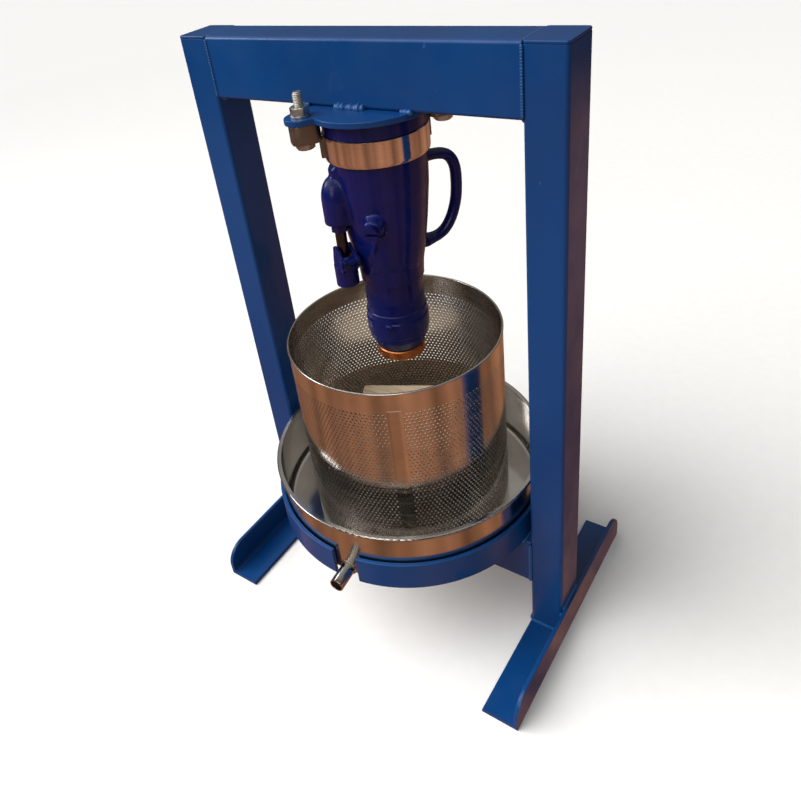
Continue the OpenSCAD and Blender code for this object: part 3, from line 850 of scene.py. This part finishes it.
# ---------------------------------------------------------------- carrying handle
# A bar bent into a D at the side of the jack. Both ends are cast into the body, so they swell a
# little where they meet it.

handle_steps = 150
handle_points = np.array([(34, -64), (56, -63.5), (78, -65), (87, -81), (86, -118), (79, -141), (66, -159),
                          (50, -160), (26, -160)]) * MM


def smooth_path(points, count, passes):
    """Even points along a line of straight legs, with the bends rounded off and the ends kept."""
    mark = np.r_[0, np.cumsum(np.linalg.norm(np.diff(points, axis=0), axis=1))]
    run = np.linspace(0, mark[-1], count)
    line = np.stack([np.interp(run, mark, points[:, k]) for k in range(points.shape[1])], 1)
    for _ in range(passes):
        line[1:-1] = 0.25 * line[:-2] + 0.5 * line[1:-1] + 0.25 * line[2:]
    return line


def tube_along(line, across, thick, wide):
    """An oval section carried along a line that lies in one plane; across is that plane's normal."""
    ahead = np.gradient(line, axis=0)
    ahead /= np.linalg.norm(ahead, axis=1)[:, None]
    inward = np.cross(ahead, across)
    angle = whole_turn(24)
    return (line[:, None] + thick[:, None, None] * np.cos(angle)[:, None] * inward[:, None]
            + wide[:, None, None] * np.sin(angle)[:, None] * across)


bent = smooth_path(handle_points, handle_steps, 130)
line = np.c_[bent[:, 0], np.zeros(handle_steps), plate_z + bent[:, 1]]
swell = 1 + 0.28 * np.exp(-((line[:, 0] - 44 * MM) / (7 * MM)) ** 2) * (line[:, 0] < 60 * MM)
handle = placed(tube_along(line, Y, 6.1 * MM * swell, 6.6 * MM * swell), jack_origin, jack_axes)
make_piece("bent_handle", [(handle, "bar")], "frame", jack_paint, "carry_handle", 60)


# ---------------------------------------------------------------- end nut and filler plug
# The big round nut that closes the reservoir tube, with a step and a tapered nose, and the small
# plug for filling the jack with oil.

end_low, end_high = cad_corners("gland_nut")
end_r = (end_high[0] - end_low[0]) / 2
rod_hole = (ram_high[0] - ram_low[0]) / 2 + 0.05 * MM
base_z, top_z = end_low[2], end_high[2]
nose = eased([(rod_hole, base_z), (end_r - 8 * MM, base_z), (end_r - 1.8 * MM, base_z + 13 * MM),
              (end_r - 1.6 * MM, base_z + 19 * MM), (end_r, base_z + 20.5 * MM), (end_r, top_z - 11 * MM),
              (end_r - 1.1 * MM, top_z - 9 * MM), (end_r - 1.1 * MM, top_z - 1 * MM),
              (tube_r + 0.3 * MM, top_z), (tube_r - 0.02 * MM, top_z),
              (tube_r - 0.02 * MM, base_z + 18 * MM), (rod_hole, base_z + 18 * MM)], 1.0 * MM)
make_piece("reservoir_end_nut", [turned_on_lathe(nose, 144, jack_middle)], "frame", jack_paint,
           "gland_nut")

plug_low, plug_high = cad_corners("filler_plug")
plug_turn = math.radians(230)
plug_out = math.cos(plug_turn) * jack_out + math.sin(plug_turn) * jack_wide
plug_place = (*jack_middle, (plug_low[2] + plug_high[2]) / 2) + end_r * plug_out
dome = eased([(0, -1.5 * MM), (5 * MM, -1.5 * MM), (5 * MM, 1.0 * MM), (3.4 * MM, 2.3 * MM),
              (1.2 * MM, 2.5 * MM), (1.2 * MM, 1.6 * MM), (0, 1.6 * MM)], 0.5 * MM)
dome_grid, kind = turned_on_lathe(dome, 40)
make_piece("oil_filler_plug", [(placed(dome_grid, plug_place, (np.cross(Z, plug_out), Z, plug_out)), kind)],
           "frame", jack_paint, "filler_plug")


# ---------------------------------------------------------------- inside of the jack
# Reservoir tube, pressure cylinder, rod, piston, seals and check balls stay as they were turned. The
# rod is hard chrome, the seals are black rubber, the pump plunger's bright steel is darkened with painted
# shade, and the rest is ground or bright-drawn steel.

chrome = steel_surface("chrome", ((0.72, 0.72, 0.74), (0.80, 0.80, 0.82)), (0.05, 0.12), (1, 1, 60), 10.0,
                       0.00001)
ground = steel_surface("ground_steel", ((0.40, 0.40, 0.41), (0.56, 0.56, 0.57)), (0.22, 0.38), (1, 1, 40),
                       14.0)
# Painted shade: the pump plunger's steel is made dark to stand for the shade it lies in between the pump
# boss and the lever.
shade_darkened = steel_surface("shade_darkened_steel", ((0.05, 0.05, 0.06), (0.12, 0.12, 0.13)), (0.18, 0.34), (1, 1, 40),
                      14.0)
rubber, tree, principled = new_shader("rubber", {"Specular IOR Level": 0.3})
black = colour_between(tree, speckle(tree, 80.0),
                       [(0.3, (0.010, 0.010, 0.010)), (0.7, (0.024, 0.023, 0.022))])
link_finish(tree, principled, black, spread(tree, speckle(tree, 200.0), 0.55, 0.75))


def finish_node(node, material):
    """Gives a CAD node that stays as it is its material."""
    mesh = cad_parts[node].data
    mesh.materials.clear()
    mesh.materials.append(material)


for node, finish in (("reservoir_tube", jack_paint), ("pressure_cylinder", ground), ("ram", chrome),
                     ("ram_piston", ground), ("check_balls", chrome), ("gland_seal", rubber),
                     ("piston_seal", rubber), ("pump_plunger", shade_darkened)):
    finish_node(node, finish)


# ---------------------------------------------------------------- pump lever, its pins and the valve
# The lever's socket and cheeks are one forging. Its pins, the pump's gland and the release valve are
# small turned pieces with broken edges. All were sprayed together with the casting.

def with_broken_edges(node, name, body, width):
    """A merged copy of a CAD node in the jack's paint, its sharp edges bevelled by a set width."""
    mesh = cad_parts[node].data.copy()
    mesh.name = name
    work = bmesh.new()
    work.from_mesh(mesh)
    bmesh.ops.remove_doubles(work, verts=work.verts, dist=2 * same_point)
    bmesh.ops.dissolve_limit(work, angle_limit=math.radians(1.2), verts=work.verts, edges=work.edges)
    work.to_mesh(mesh)
    work.free()
    made = finish_piece(name, mesh, body, jack_paint, node, 35, False)
    bevel = made.modifiers.new("broken_edge", "BEVEL")
    bevel.width = width
    bevel.segments = 2
    bevel.limit_method = "ANGLE"
    bevel.angle_limit = math.radians(35)
    bevel.use_clamp_overlap = True


with_broken_edges("lever_socket", "pump_lever", "lever", 0.8 * MM)
with_broken_edges("lever_pivot_pin", "pivot_pin", "frame", 0.5 * MM)
with_broken_edges("plunger_pin", "cross_pin", "plunger", 0.4 * MM)
with_broken_edges("pump_gland", "pump_gland_nut", "frame", 0.5 * MM)
with_broken_edges("release_valve", "valve_screw", "valve", 0.6 * MM)


# ---------------------------------------------------------------- extension screw and saddle
# A screw in the end of the rod carries the saddle, a turned disc with a copper-coloured finish and
# shallow rings in its face, which presses on the block.

screw_low, screw_high = cad_corners("extension_screw")
screw_r = (screw_high[0] - screw_low[0]) / 2
screw = threaded_rod(screw_low[2], screw_high[2], screw_r - 0.02 * MM, 2.5 * MM, 1.0 * MM)
make_piece("threaded_extension", [(placed(screw, jack_origin), "bar")], "saddle", ground,
           "extension_screw", 50)

copper, tree, principled = new_shader("copper", {"Metallic": 1.0})
tarnish = colour_between(tree, speckle(tree, 45.0), [(0.30, (0.20, 0.055, 0.02)), (0.48, (0.58, 0.19, 0.06)),
                                                     (0.72, (0.80, 0.34, 0.13))])
link_finish(tree, principled, tarnish, spread(tree, speckle(tree, 30.0, (1, 1, 20)), 0.20, 0.42))
raise_surface(tree, principled, speckle(tree, 300.0), 0.00008)

pad_low, pad_high = cad_corners("saddle_pad")
pad_r = (pad_high[0] - pad_low[0]) / 2
pad_z, pad_top = pad_low[2], pad_high[2]
ring_top = pad_z + 1.6 * MM
ring_foot = pad_z + 0.1 * MM
face = [(0, ring_top)]
for ring in (6, 11, 16, 21):
    face += [((ring - 1.2) * MM, ring_top), (ring * MM, ring_foot), ((ring + 1.2) * MM, ring_foot),
             ((ring + 2.4) * MM, ring_top)]
face += [(pad_r - 1.6 * MM, pad_z), (pad_r, pad_z + 1.5 * MM), (pad_r, pad_top - 1.2 * MM),
         (pad_r - 1.2 * MM, pad_top), (screw_r + 0.4 * MM, pad_top), (screw_r, pad_top - 0.6 * MM),
         (screw_r, pad_z + 4 * MM), (0, pad_z + 4 * MM)]
make_piece("ringed_saddle", [turned_on_lathe(eased(face, 0.6 * MM), 128, jack_middle)], "saddle", copper,
           "saddle_pad")


# ---------------------------------------------------------------- juice tray and spout
# The tray is spun from stainless sheet and polished, with a rolled rim. The spout is a short tube
# welded into a hole low in its wall.

# The warm tint of these tones is a painted reflection of a warm floor; the slow change between them is
# random.
stainless = steel_surface("stainless", ((0.56, 0.53, 0.50), (0.68, 0.65, 0.61)), (0.09, 0.22), (1, 1, 40),
                          8.0)
finish_node("tray", stainless)

spout_low, spout_high = cad_corners("spout")
spout_r = 8.5 * MM
spout_bore = 7 * MM
spout_from = 163.5 * MM
spout_to = 195.0 * MM
spout_out = np.array([math.sin(spout_turn), -math.cos(spout_turn), 0])
spout_wide = np.cross(Z, spout_out)
spout_place = np.array([0, middle_y, (spout_low[2] + spout_high[2]) / 2])
spout_axes = (spout_wide, Z, spout_out)
pipe = eased([(spout_bore, spout_from), (spout_r, spout_from), (spout_r, spout_to), (spout_bore, spout_to)],
             0.6 * MM)
pipe_grid, kind = turned_on_lathe(pipe, 64)
make_piece("juice_spout", [(placed(pipe_grid, spout_place, spout_axes), kind)], "tray", stainless,
           "spout")

burnt = steel_surface("weld_steel", ((0.22, 0.17, 0.12), (0.48, 0.42, 0.36)), (0.25, 0.45), (1, 1, 1), 120.0,
                      0.0001)
tray_r = 166.0 * MM
turn = np.linspace(0, 2 * math.pi, 60)
weld_side = (spout_r + 0.5 * MM) * np.cos(turn)
weld_up = (spout_r + 0.5 * MM) * np.sin(turn)
weld_path = placed(np.c_[weld_side, weld_up, np.sqrt(tray_r ** 2 - weld_side ** 2)], spout_place, spout_axes)
make_piece("spout_weld", [(weld_bead(weld_path, 1.5 * MM, 7), "spindle")], "tray", burnt,
           crease=60)


# ---------------------------------------------------------------- perforated basket
# Punched stainless sheet rolled into a tube: plain bands at top and bottom, staggered 2.6 mm holes
# between, a plain lapped seam with one spot-welded strip, and a thin rolled rim.

basket_low, basket_high = cad_corners("basket")
basket_z, basket_top = basket_low[2], basket_high[2]
basket_middle = (0, middle_y)
sheet_r = 126.0 * MM
sheet_in = 124.5 * MM
columns = 158
hole_r = 1.3 * MM
pitch = 2 * math.pi * sheet_r / columns
row_step = pitch * math.sqrt(3) / 2
top_band = 24 * MM
bottom_band = 9 * MM
rows = int((basket_top - basket_z - top_band - bottom_band) / row_step)
holes_low = basket_z + bottom_band
holes_high = holes_low + rows * row_step
seam_turn = math.radians(-58)
seam_half = 9.5 * MM

cell_u = np.array([1, 1, 0, -1, -1, -1, 0, 1]) * 0.5 * pitch
cell_v = np.array([0, 1, 1, 1, 0, -1, -1, -1]) * 0.5 * row_step
hole = hole_r * np.stack([np.cos(whole_turn(8)), np.sin(whole_turn(8))])
corner = np.arange(8)
after = (corner + 1) % 8
odd = np.array([1, 3, 5, 7])


def on_sheet(radius, along, height):
    """Rolls flat sheet coordinates, along and height, round the basket's axis at a radius."""
    return polar(radius, along / sheet_r + seam_turn, height, basket_middle)


def punched_ring(first, last):
    """Cells of sheet from row first to row last. A punched cell has eight faces round its hole, outside,
    inside and in the hole. A plain cell, in the seam, has four faces that meet in its middle. The inner
    skin's faces run the other way round, so that they face the fruit."""
    row = np.repeat(np.arange(first, last), columns)
    column = np.tile(np.arange(columns), last - first)
    along = (column + 0.5 * (row % 2)) * pitch
    height = holes_low + (row + 0.5) * row_step
    girth = 2 * math.pi * sheet_r
    plain = np.abs((along + girth / 2) % girth - girth / 2) < seam_half
    punched = ~plain
    rim_u, rim_v = along[:, None] + cell_u, height[:, None] + cell_v
    hole_u, hole_v = along[:, None] + hole[0], height[:, None] + hole[1]
    holes, blanks = int(punched.sum()), int(plain.sum())
    points, faces, start = [], [], 0
    for radius, turned in ((sheet_r, 1), (sheet_in, -1)):
        points += [on_sheet(radius, rim_u[punched], rim_v[punched]),
                   on_sheet(radius, hole_u[punched], hole_v[punched]),
                   on_sheet(radius, rim_u[plain], rim_v[plain]),
                   on_sheet(radius, along[plain], height[plain])]
        cell = start + 8 * np.arange(holes)[:, None]
        far = cell + 8 * holes
        faces.append(np.stack([cell + corner, cell + after, far + after, far + corner], -1)[..., ::turned])
        start += 16 * holes
        cell = start + 8 * np.arange(blanks)[:, None]
        hub = start + 8 * blanks + np.arange(blanks)[:, None] + 0 * odd
        faces.append(np.stack([hub, cell + odd - 1, cell + odd, cell + (odd + 1) % 8], -1)[..., ::turned])
        start += 9 * blanks
    outer = 8 * holes + 8 * np.arange(holes)[:, None]
    inner = outer + 16 * holes + 9 * blanks
    faces.append(np.stack([outer + corner, outer + after, inner + after, inner + corner], -1))
    return (np.concatenate([part.reshape(-1, 3) for part in points]),
            np.concatenate([part.reshape(-1, 4) for part in faces]))


# The warm tint of these tones is a painted reflection of a warm floor; the slow change between them is
# random.
reflection_tinted_basket_steel = steel_surface("reflection_tinted_basket_steel", ((0.58, 0.55, 0.52), (0.70, 0.67, 0.63)), (0.10, 0.24),
                             (1, 1, 50), 7.0)
thirds = (0, rows // 3, 2 * rows // 3, rows)
for name, stands_for, first, last in (("basket_sheet_low", None, *thirds[:2]),
                                      ("basket_sheet_middle", None, *thirds[1:3]),
                                      ("basket_sheet_high", "basket", *thirds[2:])):
    points, faces = punched_ring(first, last)
    mesh = bpy.data.meshes.new(name)
    mesh.from_pydata(points.tolist(), [], faces.tolist())
    close_up(mesh, (holes_low + first * row_step, holes_low + last * row_step))
    finish_piece(name, mesh, "basket", reflection_tinted_basket_steel, stands_for, 30, False)

bead_r = 1.4 * MM
bead_top = basket_top - 1.2 * MM
bead_turn = whole_turn(16)
top_edge = [(sheet_in, holes_high), (sheet_r, holes_high), (sheet_r, bead_top), (sheet_in, bead_top)]
low_edge = eased([(sheet_in, basket_z), (sheet_r, basket_z), (sheet_r, holes_low), (sheet_in, holes_low)],
                 0.3 * MM, 3)
rim_bead = np.c_[(sheet_r + sheet_in) / 2 + 0.1 * MM + bead_r * np.cos(bead_turn),
                 basket_top - bead_r + bead_r * np.sin(bead_turn)]
bands = [turned_on_lathe(profile, 2 * columns, basket_middle) for profile in (top_edge, low_edge, rim_bead)]
make_piece("basket_bands_and_rim", bands, "basket", reflection_tinted_basket_steel, crease=50)

strip_half = seam_half - 1.5 * MM
spot_r = 1.8 * MM
strip_along = np.linspace(-strip_half, strip_half, 9)
strip_rise = 0.30 * MM * np.minimum((strip_half - np.abs(strip_along)) / (2 * MM) + 0.3, 1)
across_strip = np.r_[strip_along, strip_along[::-1]]
strip_skin = np.r_[strip_rise, np.full(9, -0.2 * MM)]
strip_height = np.linspace(basket_z + 1 * MM, holes_high + 3 * MM, 240)[:, None]
from_spot = (strip_height - basket_z) % (14 * MM) - 7 * MM
spot = 0.22 * MM * np.exp(-(across_strip / spot_r) ** 2 - (from_spot / spot_r) ** 2)
strip = on_sheet(sheet_r + strip_skin - spot * (strip_skin > 0), across_strip, strip_height)
make_piece("basket_seam_strip", [(strip, "bar")], "basket", reflection_tinted_basket_steel, crease=40)


# ---------------------------------------------------------------- press plate and block
# A round plate of pale hardwood spreads the load over the fruit, and a square block of the same wood
# stands on it under the saddle. Their edges are sanded.

def sawn_wood(name, turn, light, dark, across):
    """Planed wood: long rings of growth along one direction, fine pores, and a waxy low gloss."""
    material, tree, principled = new_shader(name, {"Specular IOR Level": 0.35})
    rings = speckle(tree, 34.0, across, 5.0, turn)
    pores = speckle(tree, 260.0, across, 6.0, turn)
    tone = colour_between(tree, rings, [(0.28, dark), (0.46, light), (0.56, [0.86 * part for part in light]),
                                        (0.74, light)])
    fine = colour_between(tree, pores, [(0.30, (0.62, 0.58, 0.52)), (0.55, (1, 1, 1))])
    mix = tree.nodes.new("ShaderNodeMix")
    mix.data_type = "RGBA"
    mix.blend_type = "MULTIPLY"
    mix.inputs["Factor"].default_value = 0.75
    tree.links.new(tone, mix.inputs["A"])
    tree.links.new(fine, mix.inputs["B"])
    link_finish(tree, principled, mix.outputs["Result"], spread(tree, rings, 0.48, 0.66))
    grain = raise_surface(tree, principled, pores, 0.00025)
    raise_surface(tree, principled, rings, 0.0004, grain)
    return material


block_low, block_high = cad_corners("wood_block")
block_turn = math.radians(25)
block_side = (block_high[0] - block_low[0]) / (math.cos(block_turn) + math.sin(block_turn))
block_x = np.array([math.cos(block_turn), math.sin(block_turn), 0])
pale_wood = sawn_wood("pale_wood", -block_turn, (0.72, 0.57, 0.40), (0.52, 0.37, 0.22), (0.12, 1, 1))
block = rounded_bar(block_side, block_side, 3 * MM, eased_ends(block_low[2], block_high[2], 2.2 * MM),
                    (0, middle_y, 0), (block_x, np.cross(Z, block_x), Z))
make_piece("press_block", [block], "block", pale_wood, "wood_block")

disc_low, disc_high = cad_corners("press_plate")
disc_r = (disc_high[0] - disc_low[0]) / 2
board = sawn_wood("board_wood", 0.35, (0.55, 0.40, 0.25), (0.36, 0.23, 0.12), (0.1, 1, 1))
disc = eased([(0, disc_low[2]), (disc_r, disc_low[2]), (disc_r, disc_high[2]), (0, disc_high[2])], 2.5 * MM)
make_piece("round_press_board", [turned_on_lathe(disc, 160, basket_middle)], "press_plate", board,
           "press_plate")


# ---------------------------------------------------------------- the last line

bpy.context.view_layer.update()
